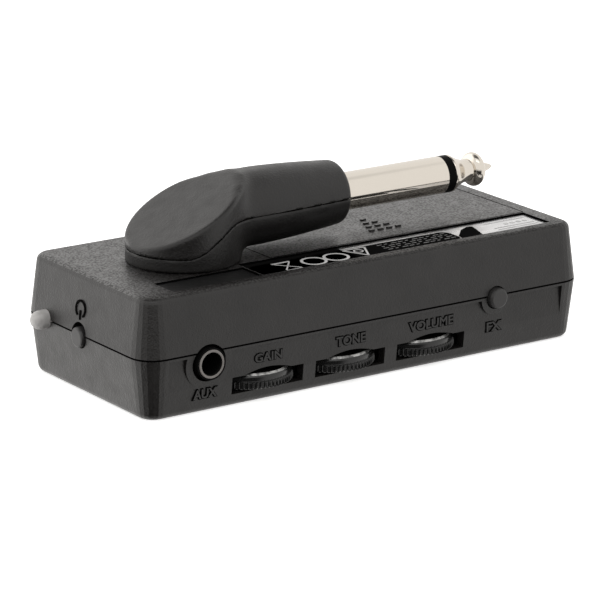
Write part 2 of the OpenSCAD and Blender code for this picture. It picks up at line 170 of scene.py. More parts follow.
def surface_net(field, low, high, step):
    """Closed quad mesh of the surface where field(x, y, z) is zero; inside is negative."""
    axes = [np.arange(low[i], high[i] + step, step) for i in range(3)]
    values = field(*np.meshgrid(*axes, indexing="ij"))
    inside = values < 0
    shape = [n - 1 for n in inside.shape]
    corners = [inside[a : shape[0] + a, b : shape[1] + b, c : shape[2] + c]
               for a in (0, 1) for b in (0, 1) for c in (0, 1)]
    count = sum(c.astype(int) for c in corners)
    active = (count > 0) & (count < 8)
    index = np.full(shape, -1)
    index[active] = np.arange(active.sum())
    cells = np.argwhere(active)
    centre = np.array([axes[i][0] for i in range(3)]) + (cells + 0.5) * step
    points = centre.copy()
    for _ in range(8):
        value = field(*points.T)
        slope = np.stack([(field(*(points + d).T) - field(*(points - d).T)) / (0.04 * step)
                          for d in np.eye(3) * 0.02 * step], axis=1)
        size = np.maximum((slope * slope).sum(1), 0.2)
        points -= 0.8 * (value / size)[:, None] * slope
        points = np.clip(points, centre - 0.75 * step, centre + 0.75 * step)
    faces = []
    for axis in range(3):
        u, v = (axis + 1) % 3, (axis + 2) % 3
        first = np.take(inside, range(inside.shape[axis] - 1), axis)
        second = np.take(inside, range(1, inside.shape[axis]), axis)
        for grid in np.argwhere(first != second):
            if grid[u] < 1 or grid[v] < 1 or grid[u] >= shape[u] or grid[v] >= shape[v]:
                continue
            ring = []
            for du, dv in ((1, 1), (0, 1), (0, 0), (1, 0)):
                cell = grid.copy()
                cell[u] -= du
                cell[v] -= dv
                ring.append(int(index[tuple(cell)]))
            faces.append(ring if first[tuple(grid)] else ring[::-1])
    return points, faces


# ---------------------------------------------------------------- materials


class Shader:
    """Short names for building a Principled material out of nodes."""

    def __init__(self, name, colour, roughness, metallic=0.0):
        self.material = bpy.data.materials.new(name)
        self.material.use_nodes = True
        self.tree = self.material.node_tree
        self.bsdf = self.tree.nodes["Principled BSDF"]
        self.set("Base Color", (*colour, 1))
        self.set("Roughness", roughness)
        self.set("Metallic", metallic)
        self.coords = self.tree.nodes.new("ShaderNodeTexCoord").outputs["Object"]

    def set(self, socket, value):
        self.bsdf.inputs[socket].default_value = value

    def node(self, kind, **values):
        made = self.tree.nodes.new(kind)
        for key, value in values.items():
            if key in made.inputs:
                made.inputs[key].default_value = value
            else:
                setattr(made, key, value)
        return made

    def link(self, out, into):
        self.tree.links.new(out, into)

    def noise(self, size_mm, detail=3.0, stretch=(1, 1, 1)):
        """Noise whose grains are about size_mm across."""
        mapping = self.node("ShaderNodeMapping")
        mapping.inputs["Scale"].default_value = stretch
        texture = self.node("ShaderNodeTexNoise", Scale=1 / (size_mm * MM), Detail=detail)
        self.link(self.coords, mapping.inputs["Vector"])
        self.link(mapping.outputs["Vector"], texture.inputs["Vector"])
        return texture.outputs["Fac"]

    def ramp(self, value, low, high, start=0.3, end=0.7):
        """Value mapped between two colours or greys."""
        ramp = self.node("ShaderNodeValToRGB")
        ramp.color_ramp.elements[0].position = start
        ramp.color_ramp.elements[1].position = end
        for element, tone in zip(ramp.color_ramp.elements, (low, high)):
            element.color = (*tone, 1) if hasattr(tone, "__len__") else (tone, tone, tone, 1)
        self.link(value, ramp.inputs["Fac"])
        return ramp.outputs["Color"]

    def bump(self, value, depth_mm, strength=1.0):
        bump = self.node("ShaderNodeBump", Strength=strength, Distance=depth_mm * MM)
        self.link(value, bump.inputs["Height"])
        last = self.bsdf.inputs["Normal"]
        if last.is_linked:
            self.link(last.links[0].from_socket, bump.inputs["Normal"])
        self.link(bump.outputs["Normal"], last)


def grey_ramp(tree, value, stops):
    """Grey level read off (position, level) stops."""
    ramp = tree.nodes.new("ShaderNodeValToRGB")
    elements = ramp.color_ramp.elements
    while len(elements) < len(stops):
        elements.new(0.5)
    for element, (position, level) in zip(elements, stops):
        element.position = position
        element.color = (level, level, level, 1)
    tree.links.new(value, ramp.inputs["Fac"])
    return ramp.outputs["Color"]


def plastic(name, colour, roughness, grain_mm, grain_depth, wear=0.25, specular=0.5):
    """Moulded plastic with a spark-eroded grain and slight unevenness of tone and gloss."""
    s = Shader(name, colour, roughness)
    s.set("Specular IOR Level", specular)
    broad = s.noise(9, 4)
    dark = tuple(c * (1 - wear) for c in colour)
    light = tuple(c * (1 + wear) for c in colour)
    s.link(s.ramp(broad, dark, light), s.bsdf.inputs["Base Color"])
    s.link(s.ramp(s.noise(2.5, 5), roughness - 0.05, roughness + 0.07), s.bsdf.inputs["Roughness"])
    s.bump(s.noise(grain_mm, 2), grain_depth)
    s.bump(s.noise(grain_mm * 2.7, 3), grain_depth * 0.6)
    return s.material


def speckled(material):
    """Glints of the spark-eroded grain on faces that look up, weaker in a margin on the control side."""
    tree = material.node_tree
    bsdf = tree.nodes["Principled BSDF"]
    coords = tree.nodes.new("ShaderNodeTexCoord").outputs["Object"]
    grain = tree.nodes.new("ShaderNodeTexNoise")
    grain.inputs["Scale"].default_value = 1 / (0.36 * MM)
    grain.inputs["Detail"].default_value = 1
    tree.links.new(coords, grain.inputs["Vector"])
    glints = grey_ramp(tree, grain.outputs["Fac"], ((0.40, 0.25), (0.5, 1.1), (0.60, 2.0)))
    place = tree.nodes.new("ShaderNodeSeparateXYZ")
    tree.links.new(coords, place.inputs[0])
    across = tree.nodes.new("ShaderNodeMath")
    across.operation = "ADD"
    across.inputs[1].default_value = 0.5
    tree.links.new(place.outputs["Y"], across.inputs[0])
    margin = grey_ramp(tree, across.outputs[0], ((0.5 - 15.7 * MM, 0.16), (0.5 - 14.9 * MM, 1.0)))
    facing = tree.nodes.new("ShaderNodeSeparateXYZ")
    tree.links.new(tree.nodes.new("ShaderNodeNewGeometry").outputs["True Normal"], facing.inputs[0])
    upward = grey_ramp(tree, facing.outputs["Z"], ((0.6, 0.0), (0.97, 1.0)))
    shown = tree.nodes.new("ShaderNodeMath")
    shown.operation = "MULTIPLY"
    tree.links.new(glints, shown.inputs[0])
    tree.links.new(margin, shown.inputs[1])
    level = tree.nodes.new("ShaderNodeMix")
    level.data_type = "FLOAT"
    level.inputs[2].default_value = 0.5
    tree.links.new(upward, level.inputs[0])
    tree.links.new(shown.outputs[0], level.inputs[3])
    tree.links.new(level.outputs[0], bsdf.inputs["Specular IOR Level"])
    return material


def polished_nickel():
    s = Shader("nickel_plate", (0.74, 0.69, 0.62), 0.09, 1.0)
    s.link(s.ramp(s.noise(3, 4), 0.06, 0.14), s.bsdf.inputs["Roughness"])
    s.bump(s.noise(0.5, 2, (0.2, 1, 1)), 0.0012)
    return s.material


def brushed_steel():
    s = Shader("steel_plate", (0.55, 0.55, 0.56), 0.35, 1.0)
    s.link(s.ramp(s.noise(0.8, 4, (0.15, 1, 1)), 0.25, 0.45), s.bsdf.inputs["Roughness"])
    s.bump(s.noise(0.25, 2), 0.003)
    return s.material


def frosted_lens():
    s = Shader("frosted_lens", (0.62, 0.61, 0.60), 0.4)
    s.set("Subsurface Weight", 0.35)
    s.set("Subsurface Radius", (0.8 * MM, 0.8 * MM, 0.8 * MM))
    s.set("Transmission Weight", 0.15)
    s.bump(s.noise(0.35, 3), 0.01)
    s.link(s.ramp(s.noise(1.2, 2), (0.52, 0.51, 0.50), (0.66, 0.65, 0.64)), s.bsdf.inputs["Base Color"])
    return s.material


def foil():
    s = Shader("printed_foil", (0.72, 0.72, 0.73), 0.28, 0.9)
    s.link(s.ramp(s.noise(1.5, 5, (0.3, 1, 1)), 0.2, 0.38), s.bsdf.inputs["Roughness"])
    s.bump(s.noise(2.2, 3), 0.01)
    return s.material


def film(name, colour, roughness, specular=0.5):
    """Printed ink or film."""
    s = Shader(name, colour, roughness)
    s.set("Specular IOR Level", specular)
    s.link(s.ramp(s.noise(1.0, 4), roughness - 0.06, roughness + 0.08), s.bsdf.inputs["Roughness"])
    s.bump(s.noise(0.9, 2), 0.004)
    return s.material


def wheel_plastic():
    """Black moulding whose raised rim is painted a light metallic grey with bright spots, a painted highlight
    standing in for the sheen on the wheel tops.
    """
    s = Shader("wheel_plastic", (0.012, 0.012, 0.012), 0.2)
    # painted highlight: above the rim height the colour turns light metallic grey with brighter spots
    tone = s.ramp(s.noise(0.7, 4), (0.10, 0.10, 0.10), (0.50, 0.50, 0.49), 0.35, 0.62)
    parts = s.node("ShaderNodeSeparateXYZ")
    s.link(s.coords, parts.inputs[0])
    above = s.node("ShaderNodeMath", operation="GREATER_THAN")
    above.inputs[1].default_value = WHEEL_SHEEN_Z * MM
    s.link(parts.outputs["Z"], above.inputs[0])
    mix = s.node("ShaderNodeMix", data_type="RGBA")
    mix.inputs[6].default_value = (0.012, 0.012, 0.012, 1)
    s.link(above.outputs[0], mix.inputs[0])
    s.link(tone, mix.inputs[7])
    s.link(mix.outputs[2], s.bsdf.inputs["Base Color"])
    s.link(s.ramp(above.outputs[0], 0.0, 0.8, 0, 1), s.bsdf.inputs["Metallic"])
    s.link(s.ramp(above.outputs[0], 0.2, 0.34, 0, 1), s.bsdf.inputs["Roughness"])
    s.bump(s.noise(0.4, 3), 0.004)
    return s.material


def board_mask():
    s = Shader("solder_mask", (0.02, 0.12, 0.05), 0.35)
    tracks = s.node("ShaderNodeTexBrick", Scale=1 / (2.5 * MM))
    tracks.inputs["Color1"].default_value = (0.02, 0.11, 0.05, 1)
    tracks.inputs["Color2"].default_value = (0.025, 0.14, 0.06, 1)
    tracks.inputs["Mortar"].default_value = (0.05, 0.2, 0.09, 1)
    s.link(s.coords, tracks.inputs["Vector"])
    s.link(tracks.outputs["Color"], s.bsdf.inputs["Base Color"])
    s.bump(s.noise(0.6, 2), 0.01)
    return s.material


CASE = speckled(plastic("case_plastic", (0.012, 0.0110, 0.0106), 0.36, 0.26, 0.06))
PANEL = plastic("panel_plastic", (0.015, 0.0144, 0.0142), 0.36, 0.35, 0.03, 0.1)
ARM = plastic("arm_plastic", (0.008, 0.0072, 0.0070), 0.36, 0.30, 0.05)
# painted shade: the arm plastic again with weaker reflection, so the base below the seam looks darker
ARM_BASE_SHADED = plastic("arm_base_shaded_plastic", (0.008, 0.0074, 0.0072), 0.36, 0.30, 0.05, 0.25, 0.35)
JACK = plastic("jack_plastic", (0.005, 0.005, 0.005), 0.3, 0.6, 0.003, 0.1, 0.02)
LIP = plastic("jack_lip_plastic", (0.20, 0.185, 0.175), 0.25, 0.6, 0.003, 0.1)
WHEEL = wheel_plastic()
GLOSS = plastic("gloss_plastic", (0.014, 0.014, 0.014), 0.22, 0.6, 0.003, 0.1)
BUTTON = plastic("button_plastic", (0.028, 0.027, 0.027), 0.36, 0.4, 0.006, 0.1)
DARK = plastic("dark_plastic", (0.010, 0.010, 0.010), 0.5, 0.4, 0.01, 0.1)
NICKEL = polished_nickel()
STEEL = brushed_steel()
LENS = frosted_lens()
FOIL = foil()
BLACK_INK = film("black_ink", (0.006, 0.006, 0.006), 0.3, 0.0)
BLANK = film("blank_film", (0.010, 0.010, 0.010), 0.36, 0.22)
# flat black for painted shade: strips in the parting line, round the hatch and labels, and under the letters
PAINTED_SHADE = film("painted_shade_black", (0.002, 0.002, 0.002), 0.8, 0.0)
WHITE_INK = film("white_ink", (0.62, 0.62, 0.62), 0.45)
GREY_INK = film("grey_ink", (0.24, 0.24, 0.24), 0.5, 0.1)
BOARD = board_mask()
JACKET = film("cell_jacket", (0.10, 0.12, 0.14), 0.3)
SLEEVE_BLUE = film("capacitor_sleeve", (0.02, 0.03, 0.12), 0.35)
LED_EPOXY = film("led_epoxy", (0.55, 0.22, 0.18), 0.2)

NODE_MATERIAL = {
    "front_shell": CASE, "back_shell": CASE, "battery_cover": CASE, "grille_panel": DARK,
    "rating_label": FOIL, "blank_label": BLANK, "turret_base": ARM, "turret_cap": ARM,
    "swivel_retainer": GLOSS, "swivel_washer": STEEL, "swivel_screws": STEEL,
    "plug_sleeve": NICKEL, "plug_insulator": JACK, "plug_tip": NICKEL,
    "gain_wheel": WHEEL, "tone_wheel": WHEEL, "volume_wheel": WHEEL,
    "gain_pot": STEEL, "tone_pot": STEEL, "volume_pot": STEEL,
    "power_button": BUTTON, "fx_button": BUTTON, "power_switch": STEEL, "fx_switch": STEEL,
    "led_lens": LENS, "status_led": LED_EPOXY, "aux_jack": JACK, "phones_jack": JACK,
    "main_board": BOARD, "amp_chips": DARK, "capacitors": SLEEVE_BLUE,
    "battery_cell_near": JACKET, "battery_cell_far": JACKET, "battery_springs": STEEL,
    "battery_terminals": NICKEL, "battery_bridge": NICKEL, "case_screws": STEEL, "board_screws": STEEL,
}


for node_name, node_material in NODE_MATERIAL.items():
    paint(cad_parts[node_name], node_material)
    smooth(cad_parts[node_name])


# ---------------------------------------------------------------- turret and arm


def seam_height(x):
    """The seam is low round the turret and rises to the plug's axis along the arm."""
    low, rise, start, length = 22.2, 4.5, -29, 10.5
    t = np.clip((x - start) / length, 0, 1)
    return low + rise * (1 - np.cos(np.pi * t)) / 2


def rim_blend(radius, cosine):
    """Blend width that rounds an edge to the radius, from the cosine between its two faces' normals."""
    return 4 * radius * (1 - np.sqrt((1 + cosine) / 2)) + 0.05


def housing(x, y, z):
    """Field of the whole arm: a round turret and a tapered tube, cut by the slanting facet."""
    above_axis = z - ARM_AXIS_Z
    across = np.hypot(x - PIVOT_X, y)
    turret = soft_max(across - TURRET_R, TURRET_Z - z, 0.25)
    turret = soft_max(turret, above_axis - (ARM_R - 1.2), 1.6)
    round_arm = np.hypot(y, above_axis)
    along = np.clip((x - ARM_TAPER_X) / (ARM_END - ARM_TAPER_X), 0, 1)
    arm = round_arm - ARM_R + ARM_TAPER * along ** 1.5
    arm = soft_max(arm, x - ARM_END, 0.95)
    arm = soft_max(arm, ARM_Z - z, 0.4)
    arm = np.maximum(arm, PIVOT_X - x)
    whole = soft_max(soft_min(turret, arm, ARM_BLEND), above_axis - (ARM_R - 0.02), 0.2)
    facet = FACET_NORMAL[0] * (x - PIVOT_X) + FACET_NORMAL[2] * (z - FACET_Z)
    on_turret = np.clip(0.5 + (arm - turret) / ARM_BLEND, 0, 1)
    cosine = (on_turret * FACET_NORMAL[0] * (x - PIVOT_X) / np.maximum(across, 1)
              + (1 - on_turret) * FACET_NORMAL[2] * above_axis / np.maximum(round_arm, 1))
    rim = 0.6 + 2.4 * (1 - on_turret) * np.clip(cosine, 0, 1)
    return soft_max(whole, facet, rim_blend(rim, cosine))


def cap_field(x, y, z):
    return soft_max(housing(x, y, z), seam_height(x) + SEAM_GAP - z, 0.15)


def base_field(x, y, z):
    upper = soft_max(housing(x, y, z), z - seam_height(x) + SEAM_GAP, 0.15)
    hub = np.maximum(np.hypot(x - PIVOT_X, y) - HUB_R, np.maximum(HUB_LOW - z, z - TURRET_Z - 1))
    return np.minimum(upper, hub)


def build_arm():
    low = (PIVOT_X - TURRET_R - 1, -TURRET_R - 1, HUB_LOW - 0.5)
    high = (ARM_END + 1, TURRET_R + 1, 34.5)
    halves = (("arm_cap", cap_field, ARM, "turret_cap"), ("arm_base", base_field, ARM_BASE_SHADED, "turret_base"))
    for name, field, material, node in halves:
        piece = mesh_object(name, *surface_net(field, low, high, 0.25), 60)
        paint(piece, material)
        finish_piece(piece, "plug_arm", "arm_plastic", node)


build_arm()


# ---------------------------------------------------------------- plug


def build_plug():
    """Tip of the plug: a collar, a waist that narrows, the round head and its rod."""
    ring = span("plug_insulator")[1][0]
    tip = [(0, 0), (0, 2.9), (0.05, 3.1), (0.15, 3.17), (0.42, 3.17)]
    steps = 40
    for i in range(steps + 1):
        t = i / steps
        tip.append((0.5 + 3.3 * t, 3.13 - 1.2 * math.sin(math.pi / 2 * t) ** 1.1))
    for i in range(steps + 1):
        a = math.radians(156 - 150 * i / steps)
        tip.append((5.6 + 1.25 * math.cos(a), 1.1 + 1.8 * math.sin(a) ** 0.85))
    tip += [(6.95, 1.08), (7.15, 0.96), (8.0, 0.78), (8.9, 0.52), (9.3, 0.34), (9.5, 0.2), (9.58, 0)]
    piece = lathe("plug_tip_polished", tip)
    shift(piece, ring, 0, PLUG_Z)
    paint(piece, NICKEL)
    finish_piece(piece, "plug_arm", "nickel", "plug_tip")


build_plug()


# ---------------------------------------------------------------- small shapes


def joined(shapes):
    """One (points, faces) pair from several."""
    points, faces = [], []
    for some_points, some_faces in shapes:
        faces += [tuple(len(points) + i for i in face) for face in some_faces]
        points += [tuple(p) for p in some_points]
    return points, faces


def stacked(rings):
    """Closed shape through rings that all have the same number of points."""
    count = len(rings[0])
    points = [p for ring in rings for p in ring]
    faces = [tuple(range(count))[::-1], tuple((len(rings) - 1) * count + k for k in range(count))]
    for i in range(len(rings) - 1):
        for k in range(count):
            a, b = i * count + k, i * count + (k + 1) % count
            faces.append((a, b, b + count, a + count))
    return points, faces


def rounded_rect(x, y, radius, steps=6):
    radius = min(radius, (x[1] - x[0]) / 2 - 0.001, (y[1] - y[0]) / 2 - 0.001)
    corners = ((x[1], y[1], 1, 1), (x[0], y[1], -1, 1), (x[0], y[0], -1, -1), (x[1], y[0], 1, -1))
    ring = []
    for quarter, (cx, cy, sx, sy) in enumerate(corners):
        for i in range(steps + 1):
            a = math.pi / 2 * (quarter + i / steps)
            ring.append((cx - sx * radius + radius * math.cos(a), cy - sy * radius + radius * math.sin(a)))
    return ring


def rounded_block(x, y, z, radius, edge):
    """Block with rounded corners and chamfered edges."""
    rings = []
    for inset, height in ((edge, z[0]), (0, z[0] + edge), (0, z[1] - edge), (edge, z[1])):
        outline = rounded_rect((x[0] + inset, x[1] - inset), (y[0] + inset, y[1] - inset),
                               max(radius - inset, 0.01))
        rings.append([(px, py, height) for px, py in outline])
    return stacked(rings)


def ribbon(path, width, z):
    """Flat strip of constant width along a path in the XY plane."""
    path = np.array(path, float)
    ahead = np.gradient(path, axis=0)
    ahead /= np.linalg.norm(ahead, axis=1)[:, None]
    side = np.stack([-ahead[:, 1], ahead[:, 0]], axis=1) * width / 2
    outline = [tuple(p) for p in path - side] + [tuple(p) for p in (path + side)[::-1]]
    count = len(outline)
    points = [(px, py, z[0]) for px, py in outline] + [(px, py, z[1]) for px, py in outline]
    half = len(path)
    faces = []
    for i in range(half - 1):
        j = count - 1 - i
        faces.append((i, j, j - 1, i + 1))
        faces.append((count + i, count + i + 1, count + j - 1, count + j))
    for i in range(count):
        j = (i + 1) % count
        faces.append((i, j, j + count, i + count))
    return points, faces


def arc(centre, radius, start, end, steps=28):
    return [(centre[0] + radius * math.cos(math.radians(start + (end - start) * i / steps)),
             centre[1] + radius * math.sin(math.radians(start + (end - start) * i / steps)))
            for i in range(steps + 1)]


# ---------------------------------------------------------------- lettering and marks


def text_shape(word, bold, depth):
    """Outline lettering as (points, faces), in the units of the letter size."""
    curve = bpy.data.curves.new(word, "FONT")
    curve.body = word
    curve.offset = bold
    curve.extrude = depth
    curve.resolution_u = 3
    holder = new_object(word, curve)
    bpy.context.view_layer.update()
    mesh = bpy.data.meshes.new_from_object(holder.evaluated_get(bpy.context.evaluated_depsgraph_get()))
    points = [tuple(v.co) for v in mesh.vertices]
    faces = [tuple(face.vertices) for face in mesh.polygons]
    bpy.data.objects.remove(holder)
    bpy.data.meshes.remove(mesh)
    return np.array(points), faces


LEGENDS = (("GAIN", (-22.58, -17.35), (6.64, 8.09)), ("TONE", (-6.8, -1.05), (6.6, 8.2)),
           ("VOLUME", (7.7, 16.65), (6.6, 8.2)), ("AUX", (-34.2, -29.8), (2.47, 4.07)),
           ("FX", (23.6, 26.55), (4.0, 5.6)))


def wall_y(z):
    """How far out the control side is at a height: the recess, or the leaning wall below it."""
    return max(PANEL_Y, -HALF_W + WALL_DRAFT * (SPLIT_Z - z) / SPLIT_Z)


def build_legends():
    """Raised words, each with a low black copy a little wider than its strokes, painted shade round the
    letters.
    """
    stroke = 0.022
    # the second entry is painted shade: a low black copy of each word, wider than its strokes
    for part, bold, height, material in (("", stroke, 0.2, PANEL), ("_painted_shade", 0.085, 0.05, PAINTED_SHADE)):
        for word, x, z in LEGENDS:
            base = text_shape(word, stroke, 0.5)[0]
            low, high = base.min(0), base.max(0)
            points, faces = text_shape(word, bold, 0.5)
            scale = ((x[1] - x[0]) / (high[0] - low[0]), (z[1] - z[0]) / (high[1] - low[1]))
            u = x[0] + (points[:, 0] - low[0]) * scale[0]
            v = z[0] + (points[:, 1] - low[1]) * scale[1]
            out = np.where(points[:, 2] > 0, height, -0.1)
            wall = np.array([wall_y(h) for h in v])
            shape = np.stack([u, wall - out, v], axis=1), faces
            add_piece("legend_" + word.lower() + part, shape, material, "root", "case_plastic")


def build_power_mark():
    """Power symbol on the leaning wall above the power button."""
    y, z = 0.93, 14.32
    width, thick = 0.34, (0, 0.12)
    stroke = [(y, z - 0.2), (y, z - 1.0), (y, z - 1.75)]
    points, faces = joined([ribbon(arc((y, z), 1.35, -55, 235), width, thick), ribbon(stroke, width, thick)])
    lean = WALL_DRAFT / (CASE_TOP - BACK_SPLIT)
    placed = [(-HALF_L + lean * (pz - BACK_SPLIT) - out + 0.02, py, pz) for py, pz, out in points]
    add_piece("power_mark", (placed, faces), BLACK_INK, "root", "case_plastic")


PATCH = ((21.0, -14.8), (25.2, -14.8), (26.4, -11.2), (26.8, -9.6), (26.4, -9.3), (25.8, -9.3), (23.9, -10.3),
         (21.4, -13.1))
INK = (LABEL_Z - 0.01, LABEL_Z + 0.03)
PRINT = (LABEL_Z + 0.02, LABEL_Z + 0.05)


def dash(start, end, y, radius):
    """Short printed line along X."""
    return rounded_block((start, end), (y - 0.1, y + 0.1), PRINT, radius, 0.005)


def stroke_of(start, end, width):
    """Straight printed line between two points."""
    middle = ((start[0] + end[0]) / 2, (start[1] + end[1]) / 2)
    return ribbon([start, middle, end], width, PRINT)


def build_label_ink():
    """Dark areas of the rating label."""
    shapes = [rounded_block((-18.64, 21.2), (-14.88, -9.5), INK, 1.6, 0.005),
              rounded_block((-18.64, 0.2), (-14.89, -7.96), INK, 0.05, 0.005),
              stacked([[(x, y, z) for x, y in PATCH] for z in INK])]
    add_piece("label_ink", joined(shapes), BLACK_INK, "root", "black_label")


def build_label_marks():
    """Generic marks: a crossed figure, two rings, and a triangle round a small ring."""
    left, right, top, foot = -13.8, -10.9, -10.6, -14.2
    shapes = [stroke_of((left - 0.3, top + 0.35), (right + 0.3, top + 0.35), 0.5),
              stroke_of((left, top), (right, foot), 0.26),
              stroke_of((right, top), (left, foot), 0.26),
              stroke_of((left - 0.1, foot - 0.3), (right + 0.1, foot - 0.3), 0.3)]
    shapes += [ribbon(arc((x, -12.3), 2.0, 0, 360), 0.5, PRINT) for x in (-7.2, -2.8)]
    near, far = -14.4, -10.0
    shapes += [stroke_of((0.1, far + 0.05), (4.4, far + 0.05), 0.34),
               stroke_of((4.4, far), (2.2, near), 0.34),
               stroke_of((0.1, far), (2.3, near), 0.34),
               ribbon(arc((2.25, -11.4), 0.75, 0, 360), 0.24, PRINT)]
    add_piece("label_marks", joined(shapes), WHITE_INK, "root", "foil_label")


def build_label_lines():
    """Rows of dashes and plain lines in place of the small print."""
    lengths = (0.95, 0.6, 1.15)
    shapes = []
    for row in range(4):
        for i in range(10):
            start = 6.6 + 1.42 * i + 0.3 * (row % 2)
            shapes.append(dash(start, start + lengths[(i + row) % 3], -10.5 - 0.95 * row, 0.08))
    add_piece("label_small_print", joined(shapes), GREY_INK, "root", "foil_label")
    shapes = [dash(29.2, 37.6, y, 0.08) for y in (-9.6, -12.6, -13.6)]
    shapes += [rounded_block((x, x + 0.8), (-11.5, -10.8), PRINT, 0.2, 0.005)
               for x in (32.3, 33.6, 34.9, 36.2)]
    add_piece("label_lines", joined(shapes), WHITE_INK, "root", "foil_label")


def build_grille():
    """Slatted face the case rests on, inside the outline of the plain CAD panel."""
    low, high = span("grille_panel")
    x0, x1, y0, y1 = low[0], high[0], low[1], high[1]
    chamfer = 2.4
    outline = [(x0 + chamfer, y0), (x1 - chamfer, y0), (x1, y0 + chamfer), (x1, y1 - chamfer),
               (x1 - chamfer, y1), (x0 + chamfer, y1), (x0, y1 - chamfer), (x0, y0 + chamfer)]
    rings = [[(px * k, py * k, h) for px, py in outline] for k, h in ((1, 0.35), (1, high[2] - 0.02))]
    shapes = [stacked(rings)]
    shapes += [rounded_block((x0 + 2.5, x1 - 2.5), (y - 0.55, y + 0.55), (0.02, 0.45), 0.5, 0.15)
               for y in np.linspace(y0 + 2.6, y1 - 2.6, 12)]
    shapes += [rounded_block((x - 0.8, x + 0.8), (y0 + 1.2, y1 - 1.2), (0.01, 0.45), 0.6, 0.15)
               for x in (-26, 0, 26)]
    shapes += [rounded_block((x0 + 2.4, x1 - 2.4), (y - 0.6, y + 0.6), (0, 0.45), 0.5, 0.15)
               for y in (y0 + 0.9, y1 - 0.9)]
    shapes += [rounded_block((x - 0.6, x + 0.6), (y0 + 2.4, y1 - 2.4), (0, 0.45), 0.5, 0.15)
               for x in (x0 + 0.9, x1 - 0.9)]
    add_piece("grille_slats", joined(shapes), DARK, "root", "grille_plastic", "grille_panel")


def lined_up(start, end):
    """Straight path with a point in the middle."""
    return [start, ((start[0] + end[0]) / 2, (start[1] + end[1]) / 2), end]


def add_shadow(name, ribbons):
    add_piece(name, joined(ribbons), PAINTED_SHADE, "root", "black_gloss")


def build_parting_shadow():
    """Painted shadow: a black strip inside the parting line, left out where something passes through it."""
    inset = 0.25
    path = rounded_rect((inset - HALF_L, HALF_L - inset), (inset - HALF_W, HALF_W - inset), 3.75, 10)
    dense = []
    for (ax, ay), (bx, by) in zip(path, path[1:] + path[:1]):
        steps = max(1, int(math.hypot(bx - ax, by - ay) / inset))
        dense += [(ax + (bx - ax) * i / steps, ay + (by - ay) * i / steps) for i in range(steps)]
    clear = 0.1
    openings = [span(node) for node in ("aux_jack", "phones_jack", "fx_button", "power_button", "led_lens")]
    runs, run = [], []
    for x, y in dense + dense[:1]:
        if any(low[0] - clear < x < high[0] + clear and low[1] - clear < y < high[1] + clear
               for low, high in openings):
            if len(run) > 2:
                runs.append(run)
            run = []
        else:
            run.append((x, y))
    runs.append(run)
    add_shadow("parting_shadow", [ribbon(r, 0.4, (SPLIT_Z + 0.005, BACK_SPLIT - 0.005)) for r in runs])


def build_hatch_shadow():
    """Thin black line round the hatch, on the three sides that show."""
    x0, x1, y0, y1 = -12.4, 39.15, -7.45, 16.2
    over = (CASE_TOP - 0.06, CASE_TOP + 0.012)
    paths = (lined_up((x0, y0), (x0, y1)), lined_up((x1, y0), (x1, y1)), lined_up((x0, y0), (x1, y0)))
    add_shadow("hatch_shadow", [ribbon(path, 0.2, over) for path in paths])


def build_label_shadow():
    """Black edges of the two label recesses, along their far side and their right end."""
    wall = (CASE_TOP - 0.39, CASE_TOP - 0.01)
    edges = []
    for node, far_out, far_width, end_out, end_width in (("rating_label", -0.02, 0.4, 0.02, 0.34),
                                                         ("blank_label", 0.08, 0.2, 0.09, 0.2)):
        low, high = span(node)
        far, end = high[1] + far_out, high[0] + end_out
        edges += [ribbon(lined_up((low[0] - 0.1, far), (high[0] + 0.1, far)), far_width, wall),
                  ribbon(lined_up((end, low[1]), (end, high[1])), end_width, wall)]
    add_shadow("label_shadow", edges)


def build_wheels():
    """Thumbwheels with narrow ridges, in place of the plain knurl of the CAD wheels."""
    teeth = 66
    ridge = (1.0, 0.75, 0.1, 0.0, 0.0, 0.0, 0.1, 0.75)
    ridge_depth = 0.3
    count = teeth * len(ridge)
    # each step: how far in from the rim, height, and whether the ridges are cut there
    profile = ((0.35, 2.31, 0), (0.12, 2.42, 1), (0, 2.55, 1), (0, 3.4, 1), (0.14, 3.55, 1),
               (0.3, 3.6, 0), (0.34, 3.66, 0), (0.3, 3.75, 0), (0.3, 4.3, 0), (0.36, 4.4, 0),
               (0.72, 4.82, 0), (0.78, 4.87, 0), (0.88, 4.88, 0), (0.95, 4.8, 0), (1.0, 4.5, 0), (6.0, 4.5, 0))
    for name in ("gain_wheel", "tone_wheel", "volume_wheel"):
        low, high = span(name)
        x, y = (low[0] + high[0]) / 2, (low[1] + high[1]) / 2
        wheel_r = (high[0] - low[0]) / 2 - 0.02
        rings = []
        for inset, z, cut in profile:
            ring = []
            for k in range(count):
                r = wheel_r - inset - cut * ridge_depth * (1 - ridge[k % len(ridge)])
                a = 2 * math.pi * k / count
                ring.append((x + r * math.cos(a), y + r * math.sin(a), z))
            rings.append(ring)
        turns = np.linspace(0, 2 * math.pi, 48, False)
        spindle = [[(x + r * math.cos(a), y + r * math.sin(a), z) for a in turns]
                   for r, z in ((1.3, profile[0][1]), (1.49, 2.6), (1.49, high[2] - 0.1), (1.4, high[2]))]
        shape = joined([stacked(rings), stacked(spindle)])
        add_piece(name + "_ridged", shape, WHEEL, name, "wheel_plastic", name)


